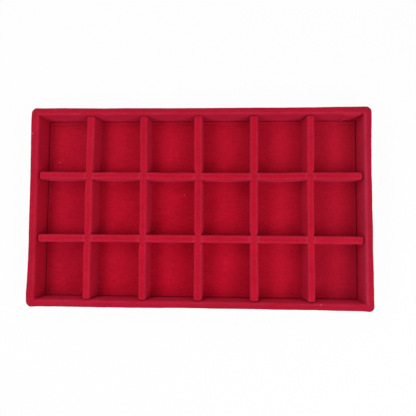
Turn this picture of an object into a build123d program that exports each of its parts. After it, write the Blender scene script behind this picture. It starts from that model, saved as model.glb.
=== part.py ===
from build123d import *
import os

# Jewellery display tray with a lift-out lattice of dividers.
# A shallow box of boards is wrapped in velvet. A velvet covered card lies on
# its floor, and crossed dividers, slotted into each other like an egg crate,
# part it into compartments.
# X runs along the tray, Y from front to back, Z up. The origin is the centre
# of the underside, on the surface that the tray stands on. All in millimetres.

# Overall size of the tray
tray_length = 350.0
tray_depth = 205.0
tray_height = 32.0

# Stock that the tray is made of
velvet_thickness = 0.8
wall_board_thickness = 5.0
base_board_thickness = 2.5
floor_card_thickness = 1.0
lining_paper_thickness = 0.3
divider_board_thickness = 5.5

# Wall boards and their wrap
outer_corner_radius = 2.5
wall_board_arris = 1.0
corner_rebate = 2.5
base_rebate = 2.5
hem_width = 15.0
hem_edge_radius = 0.5
lining_inset = 4.0

# Floor pad
floor_pad_gap = 0.4
floor_pad_edge_radius = 0.7

# Lattice of dividers
compartments_across = 6
row_dividers = 2
row_divider_spacing = 64.4
divider_drop = 3.0
column_end_gap = 0.4
row_end_gap = 0.9
divider_top_radius = 1.4
divider_end_radius = 1.6
divider_board_arris = 0.7
pinched_velvet_thickness = 0.3
pinch_overrun = 0.6
pinch_taper = 2.5
slot_clearance = 0.2
slot_end_play = 0.4

# Levels, from the underside to the rim
base_bottom = lining_paper_thickness + velvet_thickness
base_top = base_bottom + base_board_thickness
card_top = base_top + floor_card_thickness
floor_top = card_top + velvet_thickness
board_top = tray_height - velvet_thickness
divider_top = tray_height - divider_drop
slot_level = (floor_top + divider_top) / 2

# Plan sizes of the walls and of the well between them
board_length = tray_length - 2 * velvet_thickness
board_depth = tray_depth - 2 * velvet_thickness
board_corner_radius = outer_corner_radius - velvet_thickness
board_inner_length = board_length - 2 * wall_board_thickness
board_inner_depth = board_depth - 2 * wall_board_thickness
well_length = board_inner_length - 2 * velvet_thickness
well_depth = board_inner_depth - 2 * velvet_thickness
board_height = board_top - base_bottom
wrap_height = tray_height - lining_paper_thickness

# Plan sizes of the floor pad and of the dividers
pad_length = well_length - 2 * floor_pad_gap
pad_depth = well_depth - 2 * floor_pad_gap
divider_width = divider_board_thickness + 2 * velvet_thickness
divider_height = divider_top - floor_top
column_length = well_depth - 2 * column_end_gap
row_length = well_length - 2 * row_end_gap
column_dividers = compartments_across - 1
compartment_width = (well_length - column_dividers * divider_width) / compartments_across
column_spacing = compartment_width + divider_width
column_places = [(n - (column_dividers - 1) / 2) * column_spacing for n in range(column_dividers)]
row_places = [(n - (row_dividers - 1) / 2) * row_divider_spacing for n in range(row_dividers)]

# The column dividers run through, nipped where a row divider crosses them.
# Their slots open downwards, and those of the row dividers open upwards.
waist_width = divider_board_thickness + 2 * pinched_velvet_thickness
column_slot_width = divider_width + 2 * slot_clearance
row_slot_width = waist_width + 2 * slot_clearance
column_slot_height = slot_level + slot_end_play / 2 - floor_top
row_slot_height = divider_top - slot_level + slot_end_play / 2

os.makedirs("parts", exist_ok=True)


def write_part(part, name):
    """Labels a finished piece and writes it to its own file."""
    part.label = name
    export_step(part, f"parts/{name}.step")


# Underside lining
# A sheet of paper over the turned-in hems, on which the tray stands.
with BuildPart() as underside_lining:
    with BuildSketch():
        Rectangle(tray_length - 2 * lining_inset, tray_depth - 2 * lining_inset)
    extrude(amount=lining_paper_thickness)
write_part(underside_lining.part, "underside_lining")

# Base board
# It is let into the rebate along the foot of the four walls.
with BuildPart() as base_board:
    with BuildSketch(Plane.XY.offset(base_bottom)):
        Rectangle(board_inner_length + 2 * base_rebate, board_inner_depth + 2 * base_rebate)
    extrude(amount=base_board_thickness)
write_part(base_board.part, "base_board")

# Frame of wall boards, before it is parted at the corners
with BuildPart() as wall_frame:
    with BuildSketch(Plane.XY.offset(base_bottom)):
        RectangleRounded(board_length, board_depth, board_corner_radius)
        Rectangle(board_inner_length, board_inner_depth, mode=Mode.SUBTRACT)
    extrude(amount=board_height)
    chamfer(wall_frame.faces().sort_by(Axis.Z)[-1].edges(), wall_board_arris)
    add(base_board.part, mode=Mode.SUBTRACT)

# Wall boards
# The side boards stand in rebates at the ends of the front and back boards.
side_board_length = board_depth - 2 * corner_rebate
for name, side in (("wall_board_left", -1), ("wall_board_right", 1)):
    with BuildPart() as side_board:
        add(wall_frame.part)
        with BuildSketch(Plane.XY.offset(base_bottom)):
            with Locations((side * (board_length - wall_board_thickness) / 2, 0)):
                Rectangle(wall_board_thickness, side_board_length)
        extrude(amount=board_height, mode=Mode.INTERSECT)
    write_part(side_board.part, name)

for name, side in (("wall_board_front", -1), ("wall_board_back", 1)):
    with BuildPart() as long_board:
        add(wall_frame.part)
        with BuildSketch(Plane.XY.offset(base_bottom)):
            with Locations((0, side * (board_depth - wall_board_thickness) / 2)):
                Rectangle(board_inner_length, wall_board_thickness)
            with Locations((0, side * (board_depth - corner_rebate) / 2)):
                Rectangle(board_length, corner_rebate)
        extrude(amount=board_height, mode=Mode.INTERSECT)
    write_part(long_board.part, name)

# Velvet wrap, before it is mitred
# The cloth starts under the base as a hem, goes up the outside, rolls over
# the rim and runs down the inside to the base board.
with BuildPart() as velvet_sleeve:
    with BuildSketch(Plane.XY.offset(lining_paper_thickness)):
        RectangleRounded(tray_length, tray_depth, outer_corner_radius)
    extrude(amount=wrap_height)
    with BuildSketch(Plane.XY.offset(base_top)):
        Rectangle(well_length, well_depth)
    extrude(amount=tray_height - base_top, mode=Mode.SUBTRACT)
    rim = velvet_sleeve.faces().sort_by(Axis.Z)[-1]
    fillet(rim.edges(), wall_board_arris + velvet_thickness)
    foot = velvet_sleeve.faces().sort_by(Axis.Z)[0]
    fillet(foot.edges(), hem_edge_radius)
    add(wall_frame.part, mode=Mode.SUBTRACT)
    add(base_board.part, mode=Mode.SUBTRACT)
    with BuildSketch(Plane.XY.offset(lining_paper_thickness)):
        Rectangle(tray_length - 2 * hem_width, tray_depth - 2 * hem_width)
    extrude(amount=base_top - lining_paper_thickness, mode=Mode.SUBTRACT)

# Velvet wraps
# One strip of cloth for each wall, cut to a mitre from corner to corner.
mitre_reach = hem_width + outer_corner_radius
half_length = tray_length / 2
half_depth = tray_depth / 2
for name, side in (("velvet_wrap_left", -1), ("velvet_wrap_right", 1)):
    with BuildPart() as side_wrap:
        add(velvet_sleeve.part)
        with BuildSketch():
            with BuildLine():
                Polyline(
                    (side * half_length, -half_depth),
                    (side * half_length, half_depth),
                    (side * (half_length - mitre_reach), half_depth - mitre_reach),
                    (side * (half_length - mitre_reach), mitre_reach - half_depth),
                    close=True,
                )
            make_face()
        extrude(amount=tray_height, mode=Mode.INTERSECT)
    write_part(side_wrap.part, name)

for name, side in (("velvet_wrap_front", -1), ("velvet_wrap_back", 1)):
    with BuildPart() as long_wrap:
        add(velvet_sleeve.part)
        with BuildSketch():
            with BuildLine():
                Polyline(
                    (-half_length, side * half_depth),
                    (half_length, side * half_depth),
                    (half_length - mitre_reach, side * (half_depth - mitre_reach)),
                    (mitre_reach - half_length, side * (half_depth - mitre_reach)),
                    close=True,
                )
            make_face()
        extrude(amount=tray_height, mode=Mode.INTERSECT)
    write_part(long_wrap.part, name)

# Floor card
with BuildPart() as floor_card:
    with BuildSketch(Plane.XY.offset(base_top)):
        Rectangle(pad_length - 2 * velvet_thickness, pad_depth - 2 * velvet_thickness)
    extrude(amount=floor_card_thickness)
write_part(floor_card.part, "floor_card")

# Floor velvet
# It covers the card and rolls over its edges, which leaves the fine dark
# line that parts the floor from the walls.
with BuildPart() as floor_velvet:
    with BuildSketch(Plane.XY.offset(base_top)):
        RectangleRounded(pad_length, pad_depth, floor_pad_edge_radius)
    extrude(amount=floor_top - base_top)
    fillet(floor_velvet.faces().sort_by(Axis.Z)[-1].edges(), floor_pad_edge_radius)
    add(floor_card.part, mode=Mode.SUBTRACT)
write_part(floor_velvet.part, "floor_velvet")

# Column dividers
# A board with slots from below, under a velvet cover that is folded over its
# top edge, closed at its ends and cut with the board at the slots.
waist_reach = divider_width / 2 + slot_clearance + pinch_overrun
notch_reach = waist_reach + pinch_taper
for number, divider_x in enumerate(column_places, start=1):
    with BuildPart() as column_slots:
        with BuildSketch(Plane.XY.offset(floor_top)):
            with Locations(*[(divider_x, divider_y) for divider_y in row_places]):
                Rectangle(2 * divider_width, column_slot_width)
        extrude(amount=column_slot_height)

    with BuildPart() as plain_board:
        with BuildSketch(Plane.XY.offset(floor_top)):
            with Locations((divider_x, 0)):
                Rectangle(divider_board_thickness, column_length - 2 * velvet_thickness)
        extrude(amount=divider_height - velvet_thickness)
        chamfer(plain_board.faces().sort_by(Axis.Z)[-1].edges(), divider_board_arris)

    with BuildPart() as column_board:
        add(plain_board.part)
        add(column_slots.part, mode=Mode.SUBTRACT)
    write_part(column_board.part, f"column_board_{number}")

    with BuildPart() as column_velvet:
        with BuildSketch(Plane.XY.offset(floor_top)):
            with Locations((divider_x, 0)):
                RectangleRounded(divider_width, column_length, divider_end_radius)
            for divider_y in row_places:
                for side in (-1, 1):
                    with BuildLine():
                        Polyline(
                            (divider_x + side * divider_width / 2, divider_y - notch_reach),
                            (divider_x + side * waist_width / 2, divider_y - waist_reach),
                            (divider_x + side * waist_width / 2, divider_y + waist_reach),
                            (divider_x + side * divider_width / 2, divider_y + notch_reach),
                            (divider_x + side * divider_width, divider_y),
                            close=True,
                        )
                    make_face(mode=Mode.SUBTRACT)
        extrude(amount=divider_height)
        fillet(column_velvet.faces().sort_by(Axis.Z)[-1].edges(), divider_top_radius)
        add(plain_board.part, mode=Mode.SUBTRACT)
        add(column_slots.part, mode=Mode.SUBTRACT)
    write_part(column_velvet.part, f"column_velvet_{number}")

# Row dividers
# The same board and cover, laid across, with slots from above that take the
# nipped waists of the column dividers.
for number, divider_y in enumerate(row_places, start=1):
    with BuildPart() as row_slots:
        with BuildSketch(Plane.XY.offset(divider_top)):
            with Locations(*[(divider_x, divider_y) for divider_x in column_places]):
                Rectangle(row_slot_width, 2 * divider_width)
        extrude(amount=-row_slot_height)

    with BuildPart() as plain_board:
        with BuildSketch(Plane.XY.offset(floor_top)):
            with Locations((0, divider_y)):
                Rectangle(row_length - 2 * velvet_thickness, divider_board_thickness)
        extrude(amount=divider_height - velvet_thickness)
        chamfer(plain_board.faces().sort_by(Axis.Z)[-1].edges(), divider_board_arris)

    with BuildPart() as row_board:
        add(plain_board.part)
        add(row_slots.part, mode=Mode.SUBTRACT)
    write_part(row_board.part, f"row_board_{number}")

    with BuildPart() as row_velvet:
        with BuildSketch(Plane.XY.offset(floor_top)):
            with Locations((0, divider_y)):
                RectangleRounded(row_length, divider_width, divider_end_radius)
        extrude(amount=divider_height)
        fillet(row_velvet.faces().sort_by(Axis.Z)[-1].edges(), divider_top_radius)
        add(plain_board.part, mode=Mode.SUBTRACT)
        add(row_slots.part, mode=Mode.SUBTRACT)
    write_part(row_velvet.part, f"row_velvet_{number}")
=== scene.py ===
import math

import bmesh
import bpy
import numpy as np
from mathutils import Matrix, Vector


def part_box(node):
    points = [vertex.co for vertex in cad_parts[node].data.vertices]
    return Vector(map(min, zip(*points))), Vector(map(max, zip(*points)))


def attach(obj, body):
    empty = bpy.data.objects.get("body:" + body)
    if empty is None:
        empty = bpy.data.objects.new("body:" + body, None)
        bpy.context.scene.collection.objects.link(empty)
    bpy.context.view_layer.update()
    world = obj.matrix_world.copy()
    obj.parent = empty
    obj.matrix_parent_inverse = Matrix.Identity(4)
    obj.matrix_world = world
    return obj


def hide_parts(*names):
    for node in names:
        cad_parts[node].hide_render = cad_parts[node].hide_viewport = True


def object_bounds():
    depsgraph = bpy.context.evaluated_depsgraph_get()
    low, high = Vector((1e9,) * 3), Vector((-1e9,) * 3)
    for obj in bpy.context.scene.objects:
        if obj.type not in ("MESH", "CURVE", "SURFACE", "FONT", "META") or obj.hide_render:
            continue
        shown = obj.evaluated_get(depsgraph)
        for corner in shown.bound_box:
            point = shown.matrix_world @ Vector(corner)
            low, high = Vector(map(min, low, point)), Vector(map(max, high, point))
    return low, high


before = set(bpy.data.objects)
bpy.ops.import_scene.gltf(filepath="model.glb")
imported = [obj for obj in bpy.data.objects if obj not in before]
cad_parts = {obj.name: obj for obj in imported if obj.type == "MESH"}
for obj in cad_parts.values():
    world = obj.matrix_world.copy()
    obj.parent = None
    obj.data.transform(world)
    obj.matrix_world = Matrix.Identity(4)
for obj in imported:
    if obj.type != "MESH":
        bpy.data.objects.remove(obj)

cad_box = [list(map(float, corner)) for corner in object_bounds()]
scene = bpy.context.scene
mm = 0.001


# Base board and wall boards
# Plain fibreboard, sawn and glued: the four walls are lapped at the corners
# and hold the base in a rebate. The velvet hides them all.

def new_material(name):
    """A material with an empty node tree that ends in one Principled shader."""
    material = bpy.data.materials.new(name)
    material.use_nodes = True
    material.node_tree.nodes.clear()
    output = material.node_tree.nodes.new("ShaderNodeOutputMaterial")
    shader = material.node_tree.nodes.new("ShaderNodeBsdfPrincipled")
    material.node_tree.links.new(shader.outputs["BSDF"], output.inputs["Surface"])
    return material, shader


def add_node(material, kind, **inputs):
    """A node of that kind, with values or links given by the names of its inputs."""
    node = material.node_tree.nodes.new(kind)
    for name, value in inputs.items():
        fill(material, node.inputs[name.replace("_", " ")], value)
    return node


def fill(material, socket, value):
    """Links a socket to another one, or sets its value."""
    if isinstance(value, bpy.types.NodeSocket):
        material.node_tree.links.new(value, socket)
    else:
        socket.default_value = value


def sum_of(material, *terms):
    """The sum of factors, each given with its weight."""
    total = 0.0
    for factor, weight in terms:
        node = add_node(material, "ShaderNodeMath")
        node.operation = "MULTIPLY_ADD"
        fill(material, node.inputs[0], factor)
        fill(material, node.inputs[1], weight)
        fill(material, node.inputs[2], total)
        total = node.outputs["Value"]
    return total


def object_noise(material, size, stretch=(1, 1, 1), detail=3.0, roughness=0.55):
    """Noise in blotches of about that size, longer along an axis that is stretched."""
    place = add_node(material, "ShaderNodeTexCoord").outputs["Object"]
    scale = tuple(1 / s for s in stretch)
    turned = add_node(material, "ShaderNodeMapping", Vector=place, Scale=scale).outputs["Vector"]
    noise = add_node(material, "ShaderNodeTexNoise", Vector=turned, Scale=1 / size,
                     Detail=detail, Roughness=roughness)
    return noise.outputs["Fac"]


def ramp(material, factor, stops):
    """A colour ramp on a factor, with its stops as (position, colour)."""
    node = add_node(material, "ShaderNodeValToRGB", Fac=factor)
    elements = node.color_ramp.elements
    while len(elements) < len(stops):
        elements.new(0.5)
    for element, (position, colour) in zip(elements, stops):
        element.position = position
        element.color = (*colour, 1)
    return node.outputs["Color"]


def blend(material, factor, first, second, kind="MIX"):
    """A mix of two colours by a factor, or another kind of blend."""
    node = add_node(material, "ShaderNodeMix")
    node.data_type = "RGBA"
    node.blend_type = kind
    fill(material, node.inputs["Factor"], factor)
    fill(material, node.inputs["A"], first)
    fill(material, node.inputs["B"], second)
    return node.outputs["Result"]


def bump(material, height, depth, normal=None):
    """Bump of a depth in metres from a height factor, over an earlier bump if one is given."""
    node = add_node(material, "ShaderNodeBump", Height=height, Distance=depth, Strength=1.0)
    if normal is not None:
        fill(material, node.inputs["Normal"], normal)
    return node.outputs["Normal"]


def fibre_material(name, dark, light, roughness, fibre, stretch):
    """Board or paper: compressed fibres, darker and lighter, with a faint grain in the surface."""
    grain_depth = 0.05 * mm
    material, shader = new_material(name)
    fibres = object_noise(material, fibre, stretch, detail=4)
    colour = ramp(material, fibres, [(0.32, dark), (0.68, light)])
    fill(material, shader.inputs["Base Color"], colour)
    shader.inputs["Roughness"].default_value = roughness
    grain = object_noise(material, fibre / 3, detail=2)
    fill(material, shader.inputs["Normal"], bump(material, grain, grain_depth))
    return material


def dress(node, material):
    """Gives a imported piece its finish."""
    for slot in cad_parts[node].material_slots:
        slot.material = material


fibreboard = fibre_material("fibreboard", (0.24, 0.13, 0.065), (0.42, 0.27, 0.15), 0.8,
                            1.2 * mm, (3, 3, 1))
wall_boards = ["wall_board_left", "wall_board_right", "wall_board_front", "wall_board_back"]
for node in ["base_board", *wall_boards]:
    dress(node, fibreboard)


# Velvet wraps
# One strip of short-pile crimson velvet for each wall: a hem under the base, up
# the outside, over the rim and down into the well. The strips meet in mitres.

def velvet_material(name, deep, light, wear_and_sheen, flat_pile_and_shade, lint):
    """Cut-pile velvet: a fine uneven nap in the colour, with streaks along the weave, paler where
    the cloth is rubbed and where sheen is painted in, darker where its pile is flattened and where
    shade is painted in, with a few specks of lint and the soft glow that the pile shows at a low
    angle."""
    fleck_spacing = 23 * mm
    tuft_depth, nap_depth = 0.10 * mm, 0.07 * mm
    material, shader = new_material(name)
    brushed = object_noise(material, 22 * mm, (1.4, 1, 1), detail=2)
    tufts = object_noise(material, 2.2 * mm, detail=3, roughness=0.6)
    nap = object_noise(material, 0.8 * mm, (1, 1.6, 1), detail=2, roughness=0.7)
    weave = object_noise(material, 1.3 * mm, (14, 1, 1), detail=1)
    pile = ramp(material, sum_of(material, (brushed, 0.2), (tufts, 0.3), (nap, 0.3), (weave, 0.2)),
                [(0.38, deep), (0.62, light)])
    # The paler colour is mixed in for rubbed cloth and for painted sheen. The darker one is
    # multiplied in for flattened pile and for painted shade at creases, edges, the feet of the
    # dividers and the ends of the floor.
    pale_attr = add_node(material, "ShaderNodeAttribute")
    pale_attr.attribute_name = "wear_and_sheen"
    paleness = object_noise(material, 1.5 * mm, detail=4, roughness=0.7)
    pale_patches = sum_of(material, (paleness, 2.0))
    paled_pile = blend(material, sum_of(material, (pale_attr.outputs["Fac"], pale_patches)), pile, (*wear_and_sheen, 1))
    darkening = add_node(material, "ShaderNodeAttribute")
    darkening.attribute_name = "flat_pile_and_shade"
    darkened_pile = blend(material, darkening.outputs["Fac"], paled_pile, (*flat_pile_and_shade, 1), "MULTIPLY")
    place = add_node(material, "ShaderNodeTexCoord").outputs["Object"]
    flecks = add_node(material, "ShaderNodeTexVoronoi", Vector=place,
                      Scale=1 / fleck_spacing)
    on_fleck = ramp(material, flecks.outputs["Distance"],
                    [(0.014, (0.6,) * 3), (0.026, (0,) * 3)])
    fill(material, shader.inputs["Base Color"], blend(material, on_fleck, darkened_pile, (*lint, 1)))
    shader.inputs["Roughness"].default_value = 0.95
    shader.inputs["Specular IOR Level"].default_value = 0.05
    shader.inputs["Sheen Weight"].default_value = 0.45
    shader.inputs["Sheen Roughness"].default_value = 0.5
    shader.inputs["Sheen Tint"].default_value = (0.95, 0.055, 0.17, 1)
    coarse = bump(material, tufts, tuft_depth)
    fill(material, shader.inputs["Normal"], bump(material, nap, nap_depth, coarse))
    return material


velvet = velvet_material("crimson_velvet", deep=(0.41, 0.0028, 0.0155),
                         light=(0.575, 0.0070, 0.030), wear_and_sheen=(0.55, 0.035, 0.083),
                         flat_pile_and_shade=(0.68, 0.85, 0.90), lint=(0.75, 0.35, 0.36))
cloth_thickness = 0.7 * mm
cloth_step = 0.9 * mm


def rounded_profile(corners, radii, step):
    """Points about step apart on a line through the corners, each rounded by an arc of its radius,
    that gives up radius times tan(turn / 2) of both its runs. The second result is 1 at an
    arc's middle and 0 on the runs."""
    corners = [np.array(c, float) for c in corners]
    points, bend = [corners[0]], [0.0]

    def run(a, b):
        count = max(1, math.ceil(np.linalg.norm(b - a) / step))
        for k in range(1, count + 1):
            points.append(a + (b - a) * k / count)
            bend.append(0.0)

    for before, corner, after, radius in zip(corners, corners[1:], corners[2:], radii):
        into = (corner - before) / np.linalg.norm(corner - before)
        out = (after - corner) / np.linalg.norm(after - corner)
        turn = math.acos(np.clip(into @ out, -1, 1))
        start = corner - into * radius * math.tan(turn / 2)
        run(points[-1], start)
        across = (out - into * (into @ out)) / math.sin(turn) * radius
        count = max(3, math.ceil(radius * turn / (0.45 * step)))
        for k in range(1, count + 1):
            angle = turn * k / count
            points.append(start + across * (1 - math.cos(angle)) + into * radius * math.sin(angle))
            bend.append(math.sin(math.pi * k / count))
    run(points[-1], corners[-1])
    return np.array(points), np.array(bend)


def ripple(points, wavelength, seed):
    """Smooth unevenness from about -1 to 1: six sine waves near that wavelength, in random
    directions."""
    usual_peak = 3.2
    draw = np.random.default_rng(seed)
    total = np.zeros(points.shape[:-1])
    for wave in range(6):
        direction = draw.normal(size=3)
        own_length = wavelength * draw.uniform(0.7, 1.4)
        direction *= 2 * math.pi / (own_length * np.linalg.norm(direction))
        total += np.sin(points @ direction + draw.uniform(0, 2 * math.pi))
    return total / usual_peak


def near(distance, reach):
    """1 at distance 0, falling off smoothly over about the reach."""
    return np.exp(-(distance / reach) ** 2)


def cloth(name, points, wear_and_sheen, flat_pile_and_shade, keep=None, closed=False):
    """A sheet from a grid of points, each cell one face, joined where its edges meet, with a wall
    added on its inner side. The paler tone of rubbed cloth and painted sheen and the darker tone
    of flattened pile and painted shade are kept for the material. keep says which cells
    stay, and closed joins the last column to the first."""
    same_place = 0.002 * mm
    rows, columns = points.shape[:2]
    index = np.arange(rows * columns).reshape(rows, columns)
    if closed:
        index = np.concatenate([index, index[:, :1]], axis=1)
    faces = np.stack([index[:-1, :-1], index[:-1, 1:], index[1:, 1:], index[1:, :-1]], axis=-1)
    if keep is not None:
        faces = faces[keep]
    used, faces = np.unique(faces, return_inverse=True)
    faces = faces.reshape(-1, 4)
    mesh = bpy.data.meshes.new(name)
    mesh.from_pydata(points.reshape(-1, 3)[used].tolist(), [], faces.tolist())
    for label, values in (("wear_and_sheen", wear_and_sheen), ("flat_pile_and_shade", flat_pile_and_shade)):
        values = np.broadcast_to(values, (rows, columns)).reshape(-1)[used]
        layer = mesh.attributes.new(label, "FLOAT", "POINT")
        layer.data.foreach_set("value", values.astype(np.float32))
    mesh.polygons.foreach_set("use_smooth", np.ones(len(faces), bool))
    mesh.materials.append(velvet)
    joined = bmesh.new()
    joined.from_mesh(mesh)
    bmesh.ops.remove_doubles(joined, verts=joined.verts, dist=same_place)
    joined.to_mesh(mesh)
    joined.free()
    piece = bpy.data.objects.new(name, mesh)
    scene.collection.objects.link(piece)
    wall = piece.modifiers.new("cloth_thickness", "SOLIDIFY")
    wall.thickness = cloth_thickness
    wall.offset = -1
    return piece


def slope_out(points):
    """Unit normals of a grid of points, from the differences between neighbours."""
    normal = np.cross(np.gradient(points, axis=1), np.gradient(points, axis=0))
    return normal / np.maximum(np.linalg.norm(normal, axis=-1, keepdims=True), 1e-12)


tray_low, tray_high = (np.array(corner) for corner in cad_box)
length, depth, rim = tray_high[0] - tray_low[0], tray_high[1] - tray_low[1], tray_high[2]
wrap_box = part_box("velvet_wrap_front")
board_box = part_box("wall_board_front")
hem_bottom = wrap_box[0][2]
hem_width = wrap_box[1][1] - wrap_box[0][1]
base_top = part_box("base_board")[1][2]
wall_width = board_box[1][1] + board_box[0][1] - 2 * wrap_box[0][1]
wall_foot = base_top + 0.1 * mm


def middle_of(node, axis):
    """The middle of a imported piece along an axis."""
    low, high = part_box(node)
    return (low[axis] + high[axis]) / 2


column_places = [middle_of(f"column_board_{n}", 0) for n in range(1, 6)]
row_places = [middle_of(f"row_board_{n}", 1) for n in (1, 2)]
corner_radius = 5.5 * mm
wrap_corners = [(hem_width, hem_bottom), (0, hem_bottom), (0, rim), (wall_width, rim),
                (wall_width, wall_foot), (wall_width + 0.75 * mm, wall_foot)]
wrap_radii = [0.5 * mm, 1.0 * mm, 2.7 * mm, 0.3 * mm]
wrap_profile, wrap_bend = rounded_profile(wrap_corners, wrap_radii, cloth_step)


def wall_wrap(name, direction, turned, flares, bow, paleness, pleat, seed):
    """The wrap's profile, inset and height, carried along the wall's outline. At inset b the
    outline runs straight, turns an arc of the corner's radius less b, and ends on the mitre.
    flares is how far each end leans out, and bow how far the outside does at places between.
    The inner face is drawn paler by a given amount, a painted sheen, and pleat adds the loose fold
    near one end, with a painted shade line in its crease."""
    end_run, straight_step = 10 * mm, 1.2 * mm
    mitre_reach = 7 * mm
    belly, tuck = 0.75 * mm, 1.15 * mm
    x, y = direction
    wall_length, across = (depth, length / 2) if x else (length, depth / 2)
    inset, height = wrap_profile[:, 0][:, None], wrap_profile[:, 1][:, None]
    half = wall_length / 2
    middle = np.linspace(end_run - half, half - end_run, int(wall_length / straight_step))[1:-1]
    ends = np.linspace(half - end_run, half, 26)
    samples = np.concatenate([-ends[::-1], middle, ends]) / half
    arc = np.maximum(corner_radius - inset, 0)
    straight = half - np.maximum(corner_radius, inset)
    reach = (straight + arc * math.pi / 4) * samples[None, :]
    past = np.maximum(np.abs(reach) - straight, 0)
    turn = np.divide(past, arc, out=np.zeros_like(past), where=arc > 0)
    along = np.sign(reach) * (np.minimum(np.abs(reach), straight) + arc * np.sin(turn))
    inward = inset + arc * (1 - np.cos(turn))
    local = np.stack([along, inward, height + 0 * along], axis=-1)
    flat_normal = slope_out(local)

    # The inner face swells between the dividers, sinks in where one ends against it, and lies
    # flat at the mitres. The rim swells beside each mitre, over the tucked cloth.
    to_mitre = half - inward - np.abs(along)
    off_mitre = 1 - near(to_mitre, mitre_reach)
    place = turned * along
    upper = np.clip((height - base_top) / (rim - base_top), 0, 1)
    inner = np.clip((inset - wall_width / 2) / (wall_width / 2), 0, 1) * (height > base_top)
    dividers = row_places if x else column_places
    tucked = sum(near(place - stop, 5.5 * mm) for stop in dividers)
    swell = inner * np.sin(math.pi * upper ** 1.4) * (belly - tuck * tucked) * off_mitre
    swell = swell + 0.10 * mm * ripple(local, 30 * mm, seed) * upper * off_mitre
    swell = swell + 0.05 * mm * ripple(local, 9 * mm, seed + 1) * upper * off_mitre
    on_rim = height > rim - 1.5 * mm
    swell = swell + 0.15 * mm * near(to_mitre - 3.0 * mm, 1.6 * mm) * on_rim
    # Painted shade: the outer bend at the rim is drawn darker, where the rolled edge falls into
    # shade. The rim and outside are darker too, from their flattened pile.
    shaded_outer_edge = wrap_bend[:, None] * (inset < 1.2 * mm) * (height > rim / 2)
    outward = np.clip((wall_width - inset) / (3 * mm), 0, 1)
    flat_pile_and_shade = 0.45 * outward + 0.55 * shaded_outer_edge + 0 * place
    if pleat:
        fold_end, fold_slope, fold_depth = 8 * mm, 1.35, 2.1 * mm
        from_end = half - place
        line = rim - (from_end - fold_end) * fold_slope
        fold = 1 / (1 + np.exp((line - height) / (0.35 * mm)))
        window = near(np.maximum(np.abs(from_end - 18 * mm) - 6 * mm, 0), 3.5 * mm)
        fold = fold - 0.5 * near(height - line + 0.6 * mm, 0.9 * mm)
        swell = swell + fold_depth * (fold - 0.2) * window * inner * (height > 6.5 * mm)
        # Painted shade: a dark line drawn along the pleat's crease.
        flat_pile_and_shade = flat_pile_and_shade + 0.9 * near(height - line, 0.9 * mm) * window * inner
    local = local + flat_normal * swell[..., None]

    # The outside leans and bows out, and a groove follows each mitre over the rim.
    outer = np.clip(1 - inset / (4 * mm), 0, 1) * np.clip((height - hem_bottom) / (7 * mm), 0, 1)
    spread = np.interp(place, *zip(*bow)) * mm
    for side, flare in zip((-1, 1), flares):
        at_end = near(np.maximum(half - side * place, 0), mitre_reach)
        spread = spread * (1 - at_end) + flare * mm * at_end
        local[..., 0] += side * turned * flare * mm * at_end * outer
    local[..., 1] -= spread * outer
    groove = near(to_mitre, 0.7 * mm) * upper
    local[..., 2] -= 0.2 * mm * groove * on_rim
    # Painted sheen: the inner face is paler by the wall's given amount, and the rim and outside
    # are a little paler. The bends are paler in blotches where the cloth is rubbed, and so is the
    # rim over each mitre.
    blotches = 0.6 + 0.4 * ripple(local, 20 * mm, seed + 2)
    wear_and_sheen = paleness * upper * inner + 0.12 * upper * (1 - inner)
    wear_and_sheen = wear_and_sheen + 0.32 * wrap_bend[:, None] * (height > rim / 2) * blotches
    wear_and_sheen = np.clip(wear_and_sheen + 0.15 * near(to_mitre, 1.2 * mm) * on_rim, 0, 1)

    placed = np.empty_like(local)
    placed[..., 0] = x * (across - local[..., 1]) - y * local[..., 0]
    placed[..., 1] = y * (across - local[..., 1]) + x * local[..., 0]
    placed[..., 2] = local[..., 2]
    piece = cloth(name + "_cloth", placed, wear_and_sheen, flat_pile_and_shade)
    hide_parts(name)
    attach(piece, "tray")


flares = {"back_left": 1.0, "back_right": 0.9, "front_left": 1.2, "front_right": 1.3}
front_bow = [(-0.155, 0.5), (-0.112, 0.5), (-0.07, 0.6), (-0.02, 0), (0.1, 0.1), (0.155, 0.35)]
back_bow = [(-0.145, 0.8), (-0.1, 0.4), (0, 0.2), (0.1, 0.25), (0.15, 0.8)]
left_bow = [(-0.088, 2.0), (-0.077, 1.2), (-0.055, 0.7), (0, 0.8), (0.04, 0.8), (0.08, 1.5)]
right_bow = [(-0.085, 1.2), (-0.05, 0.8), (0, 0.6), (0.045, 0.35), (0.065, 0.3), (0.09, 1.1)]
wall_wrap("velvet_wrap_front", (0, -1), 1, (flares["front_left"], flares["front_right"]),
          front_bow, paleness=0.14, pleat=False, seed=11)
wall_wrap("velvet_wrap_back", (0, 1), -1, (flares["back_left"], flares["back_right"]),
          back_bow, paleness=0.15, pleat=True, seed=21)
wall_wrap("velvet_wrap_left", (-1, 0), -1, (flares["front_left"], flares["back_left"]),
          left_bow, paleness=0.05, pleat=False, seed=31)
wall_wrap("velvet_wrap_right", (1, 0), 1, (flares["front_right"], flares["back_right"]),
          right_bow, paleness=0.60, pleat=False, seed=41)


# Underside lining
# A sheet of matt black paper, pasted over the turned-in hems.

lining = fibre_material("lining_paper", (0.010, 0.009, 0.009), (0.030, 0.028, 0.028), 0.7,
                        0.7 * mm, (2, 1, 1))
dress("underside_lining", lining)


# Floor card and its velvet
# A card cut to the well, with velvet pulled over its edges. The rolled edge
# leaves a fine dark line along the walls, and the card's edge shows as a crease.

grey_card = fibre_material("grey_card", (0.21, 0.19, 0.17), (0.40, 0.37, 0.33), 0.85,
                           0.9 * mm, (2, 1, 1))
dress("floor_card", grey_card)

floor_low, floor_high = (np.array(c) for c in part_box("floor_velvet"))
floor_top = floor_high[2]
roll = 1.2 * mm
floor_play = 0.2 * mm


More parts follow.
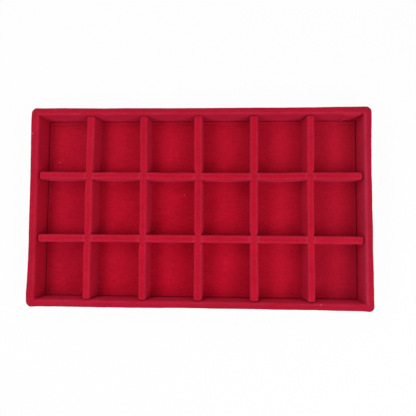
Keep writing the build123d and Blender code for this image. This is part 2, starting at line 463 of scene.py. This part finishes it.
def floor_cloth():
    """Velvet over the card: a grid whose height falls by a quarter circle near each edge, with
    one last row straight down to the base board."""
    fine_rim, step = 5 * mm, 1.5 * mm
    crease_place, crease_depth = 2.9 * mm, 0.16 * mm

    def spaced(low, high):
        edge = roll * (1 - np.cos(np.linspace(0, math.pi / 2, 7)))
        crease = np.linspace(roll, fine_rim, 9)[1:]
        middle = np.linspace(low + fine_rim, high - fine_rim, int((high - low) / step))[1:-1]
        rise = np.concatenate([[0], edge, crease])
        return np.concatenate([low + rise, middle, (high - rise)[::-1]])

    x = spaced(floor_low[0] + floor_play, floor_high[0] - floor_play)
    y = spaced(floor_low[1] + floor_play, floor_high[1] - floor_play)
    grid_x, grid_y = np.meshgrid(x, y)
    margin = np.minimum(np.minimum(grid_x - x[0], x[-1] - grid_x),
                        np.minimum(grid_y - y[0], y[-1] - grid_y))
    dip = roll - np.minimum(margin, roll)
    height = floor_top - (roll - np.sqrt(np.maximum(roll ** 2 - dip ** 2, 0)))
    points = np.stack([grid_x, grid_y, height], axis=-1)
    uneven = 0.08 * ripple(points, 38 * mm, 51) + 0.03 * ripple(points, 11 * mm, 52) - 0.08
    points[..., 2] += uneven * mm * np.clip(margin / (6 * mm), 0, 1)
    points[..., 2] -= crease_depth * near(margin - crease_place, 0.6 * mm)
    points[0, :, 2] = points[-1, :, 2] = points[:, 0, 2] = points[:, -1, 2] = base_top
    far_x, far_y = grid_x / floor_high[0], grid_y / floor_high[1]
    # Painted sheen: paler toward the right and the back. Also paler just inside the rolled edge.
    paleness = 0.04 * far_x ** 2 + 0.08 * np.maximum(far_x, 0) + 0.06 * np.maximum(far_y, 0)
    paleness = paleness + 0.12 * near(margin - roll, 0.8 * mm)
    # Painted shade: darker toward the left and right ends, most toward the front.
    flat_pile_and_shade = 0.55 * np.clip(2 * far_x - 1, 0, 1) * np.clip(0.5 - 0.6 * far_y, 0, 1)
    flat_pile_and_shade = flat_pile_and_shade + 0.5 * np.clip(-2 * far_x - 0.8, 0, 1) * np.clip(0.5 - 0.25 * far_y, 0, 1)
    piece = cloth("floor_velvet_cloth", points, paleness, flat_pile_and_shade)
    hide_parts("floor_velvet")
    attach(piece, "tray")


floor_cloth()


# Dividers
# Seven boards in velvet covers, folded over the top edge and closed at the ends.
# The columns are slotted from below, the rows from above, like an egg crate.

for n in range(1, 6):
    dress(f"column_board_{n}", grey_card)
for n in (1, 2):
    dress(f"row_board_{n}", grey_card)

divider_low, divider_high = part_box("column_velvet_1")
divider_top = divider_high[2]
half_width = (divider_high[0] - divider_low[0]) / 2
board_low, board_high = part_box("column_board_1")
board_half, board_top = (board_high[0] - board_low[0]) / 2, board_high[2]
slot_level = (floor_top + divider_top) / 2
slot_play = 0.2 * mm
over_board = 0.3 * mm
waist = board_half + over_board
top_radius = 2.3 * mm
cap_power = 3.6


def divider_cover(node, run_x, centre, slot_places, slot_half, slots_above, lean, foot, full,
                  stray, seed):
    """The cover's outline in plan, drawn in by the inset as the cloth goes up the side and over
    the top, until both sides meet on the middle line. The ends are squared ellipses. full says
    how much each side swells at the top, foot how much it does at the bottom, lean how far the
    foot stands aside, and stray how far the whole strays sideways at places along it."""
    waist_reach, waist_blur = 5.4 * mm, 0.45 * mm
    crown, slot_dip, side_swell = 0.22 * mm, 0.3 * mm, 0.2 * mm
    axis = 0 if run_x else 1
    low, high = (corner[axis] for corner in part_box(node))
    cap = half_width
    line = np.arange(low + cap, high - cap, 1.1 * mm)
    marks = [place + side * (slot_half + more * mm) for place in slot_places for side in (-1, 1)
             for more in (-0.02, 0.02, 0.35, 0.8)]
    line = np.unique(np.concatenate([line, marks, [high - cap]]))
    angles = np.linspace(-math.pi / 2, math.pi / 2, 15)[1:-1]
    cap_u = np.cos(angles) ** (2 / cap_power)
    cap_w = np.sign(np.sin(angles)) * np.abs(np.sin(angles)) ** (2 / cap_power)
    base_u = np.concatenate([line, high - cap + 0 * angles, line[::-1], low + cap + 0 * angles])
    unit_u = np.concatenate([0 * line, cap_u, 0 * line, -cap_u])
    unit_w = np.concatenate([0 * line - 1, cap_w, 0 * line + 1, -cap_w])
    profile, bent = rounded_profile([(0, floor_top), (0, divider_top), (half_width, divider_top)],
                                    [top_radius], cloth_step)
    level = slot_level - slot_play if slots_above else slot_level + slot_play
    nearest = int(np.argmin(np.abs(profile[:, 1] - level) + 1000 * (profile[:, 0] > 0)))
    profile[nearest, 1] = level
    inset, height = profile[:, 0][:, None], profile[:, 1][:, None]
    upper = np.clip((height - floor_top) / (divider_top - floor_top), 0, 1)
    u = base_u + unit_u * (cap - inset)
    nip, lip = np.zeros_like(base_u), np.zeros_like(base_u)
    for place in slot_places:
        off = np.abs(base_u - place)
        if slots_above:
            lip = np.maximum(lip, near(off - slot_half - 1.3 * mm, 1.1 * mm))
        else:
            nip = np.maximum(nip, 1 / (1 + np.exp((off - waist_reach) / waist_blur)))
    width = half_width + full * upper
    width = width - (width - waist) * nip + side_swell * lip * upper
    w = unit_w * (width - inset * width / half_width)
    z = height + crown * np.sin(math.pi / 2 * np.clip(inset / half_width, 0, 1)) + 0 * u
    if slots_above:
        for place in slot_places:
            off = np.maximum(np.abs(u - place) - slot_half, 0)
            z = z - slot_dip * np.exp(-off / (0.4 * mm)) * (height > divider_top - top_radius)
    swell = foot * (1 - upper) ** 1.5 + side_swell * upper * (inset == 0)
    w = w + unit_w * swell * (1 - nip)
    local = np.stack([u, w, z], axis=-1)
    rough = 0.14 * mm * ripple(local, 26 * mm, seed) + 0.06 * mm * ripple(local, 9 * mm, seed + 1)
    w = w + unit_w * rough * (inset < half_width)
    z = z + 0.4 * rough * (inset > 0)
    aside = np.interp(u, *(np.array(stray).T * mm)) + lean * (1 - upper)
    w = w + (aside if run_x else -aside)
    beside_board = (height < board_top + 0.4 * mm) & (inset < half_width)
    clear = (board_half + over_board) * unit_w
    w = np.where(beside_board & (unit_w > 0), np.maximum(w, clear), w)
    w = np.where(beside_board & (unit_w < 0), np.minimum(w, clear), w)
    if run_x:
        points = np.stack([u, centre + w, z], axis=-1)
    else:
        points = np.stack([centre - w, u, z], axis=-1)
    # Paler along the folded top and beside the slots where the cloth is rubbed, and toward the
    # tray's ends as painted sheen.
    wear_and_sheen = 0.02 + 0.35 * bent[:, None] * (0.75 + 0.25 * ripple(local, 14 * mm, seed + 3))
    wear_and_sheen = wear_and_sheen + 0.08 * (points[..., 0] / floor_high[0]) ** 2
    wear_and_sheen = np.clip(wear_and_sheen + 0.3 * lip * (height > slot_level), 0, 1)
    # Painted shade: a contact shadow drawn near the foot, where the cover meets the floor.
    flat_pile_and_shade = near(height - floor_top, 2.5 * mm)
    middle = (base_u + np.roll(base_u, -1)) / 2
    straight = (unit_u == 0) & (np.roll(unit_u, -1) == 0)
    in_slot = np.any([np.abs(middle - place) < slot_half for place in slot_places], axis=0)
    in_slot = in_slot & straight
    rows = np.arange(len(profile) - 1)
    cut_rows = rows >= nearest if slots_above else rows < nearest
    piece = cloth(node + "_cloth", points, wear_and_sheen, flat_pile_and_shade,
                  ~(cut_rows[:, None] & in_slot[None, :]), closed=True)
    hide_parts(node)
    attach(piece, "divider_lattice")


# Each shape: the lean of the foot and the fullness of the top in mm, and the stray as
# places and shifts in mm.
column_shapes = [
    (0.9, 0.55, [(-85, -0.4), (-48, -0.7), (-32, -0.2), (-15, 0), (15, -0.3), (32, 0), (63, 0.5),
                 (85, 0.8)]),
    (0.9, 0.35, [(-81, 0.2), (-48, 0), (-32, 0.1), (-15, 0.3), (15, 0), (47, 0), (63, -0.3),
                 (82, -0.5)]),
    (0.2, 0.65, [(-48, 0.2), (-32, 0.1), (15, 0), (32, -0.1), (47, -0.3), (63, -0.7), (82, -0.8)]),
    (1.1, 0.80, [(-81, 0.3), (-48, 0), (-15, -0.2), (1, -0.4), (15, -0.1), (63, -0.1)]),
    (-1.6, 0.05, [(-81, 0.8), (-65, 0.8), (-48, 0.7), (-32, 0.3), (-15, 0.4), (1, 0.1), (15, 0.2),
                  (32, 0.3), (47, 0.8)])]
column_foot, column_slot_half = 0.9 * mm, half_width - 0.1 * mm
for n, (lean, full, stray) in enumerate(column_shapes):
    divider_cover(f"column_velvet_{n + 1}", False, column_places[n], row_places, column_slot_half,
                  False, lean * mm, column_foot, full * mm, stray, seed=60 + 5 * n)
row_shapes = [
    (0.2, 0.35, [(-158, -0.7), (-60, -0.5), (0, -0.55), (158, -0.7)]),
    (0.8, 0.30, [(-158, 0.45), (-135, 0.15), (-50, -0.1), (-38, -0.4), (0, -0.3), (18, -0.5),
                 (45, -0.35), (72, -0.45), (86, -0.45), (100, 0.05), (158, 0.35)])]
row_foot, row_slot_half = 0.15 * mm, waist - 0.35 * mm
for n, (lean, full, stray) in enumerate(row_shapes):
    divider_cover(f"row_velvet_{n + 1}", True, row_places[n], column_places, row_slot_half,
                  True, lean * mm, row_foot, full * mm, stray, seed=90 + 5 * n)


# Stage
# A pale floor, a soft lamp on each side, and an even white world. The camera
# looks down from just right of the middle.

direct_rays = ("Is Camera Ray", "Is Glossy Ray", "Is Transmission Ray")
sky_level = 0.44


def stage_material():
    """White paper that the camera, gloss and glass see as the white background, with part of the
    shadow that falls on it."""
    white_share = 0.94
    material = bpy.data.materials.new("pale_floor")
    material.use_nodes = True
    material.node_tree.nodes.clear()
    paper = add_node(material, "ShaderNodeBsdfDiffuse", Color=(0.92, 0.92, 0.92, 1))
    white = add_node(material, "ShaderNodeEmission", Strength=1.0)
    seen = add_node(material, "ShaderNodeLightPath").outputs
    share = sum_of(material, *((seen[ray], white_share) for ray in direct_rays))
    mix = add_node(material, "ShaderNodeMixShader", Fac=share)
    fill(material, mix.inputs[1], paper.outputs["BSDF"])
    fill(material, mix.inputs[2], white.outputs["Emission"])
    add_node(material, "ShaderNodeOutputMaterial", Surface=mix.outputs["Shader"])
    return material


reach, ground = 3.0, -0.1 * mm
plane = [(-reach, -reach, ground), (reach, -reach, ground), (reach, reach, ground),
         (-reach, reach, ground)]
floor_mesh = bpy.data.meshes.new("pale_floor")
floor_mesh.from_pydata(plane, [], [(0, 1, 2, 3)])
floor_mesh.materials.append(stage_material())
pale_floor = bpy.data.objects.new("pale_floor", floor_mesh)
scene.collection.objects.link(pale_floor)


def soft_lamp(name, place, level):
    """A square lamp that faces the tray's middle and lights a surface there to that level. Its
    power is the level times pi squared and the distance cubed, over its height."""
    data = bpy.data.lights.new(name, "AREA")
    data.size = 0.20
    lamp = bpy.data.objects.new(name, data)
    lamp.location = place
    data.energy = level * math.pi ** 2 * lamp.location.length ** 3 / place[2]
    lamp.rotation_euler = lamp.location.to_track_quat("Z", "Y").to_euler()
    scene.collection.objects.link(lamp)


soft_lamp("lamp_left", (-0.34, -0.10, 0.50), 0.21)
soft_lamp("lamp_right", (0.45, -0.10, 0.50), 0.15)
soft_lamp("lamp_front", (0.26, -0.30, 0.50), 0.12)
soft_lamp("lamp_back", (-0.25, 0.25, 0.50), 0.09)

world = bpy.data.worlds.new("pale_world")
world.use_nodes = True
sky = world.node_tree.nodes["Background"]
sky.inputs["Color"].default_value = (1, 1, 1, 1)
seen = add_node(world, "ShaderNodeLightPath").outputs
fill(world, sky.inputs["Strength"],
     sum_of(world, (1.0, sky_level), *((seen[ray], 1 - sky_level) for ray in direct_rays)))
scene.world = world

camera = bpy.data.objects.new("camera", bpy.data.cameras.new("camera"))
camera.location = (27.9 * mm, -22.4 * mm, 446.7 * mm)
camera.rotation_euler = tuple(math.radians(angle) for angle in (2.967, 2.414, 0.416))
camera.data.sensor_width = 36
camera.data.lens = 35.28
camera.data.clip_start = 0.01
scene.collection.objects.link(camera)
scene.camera = camera
scene.view_settings.view_transform = "Standard"
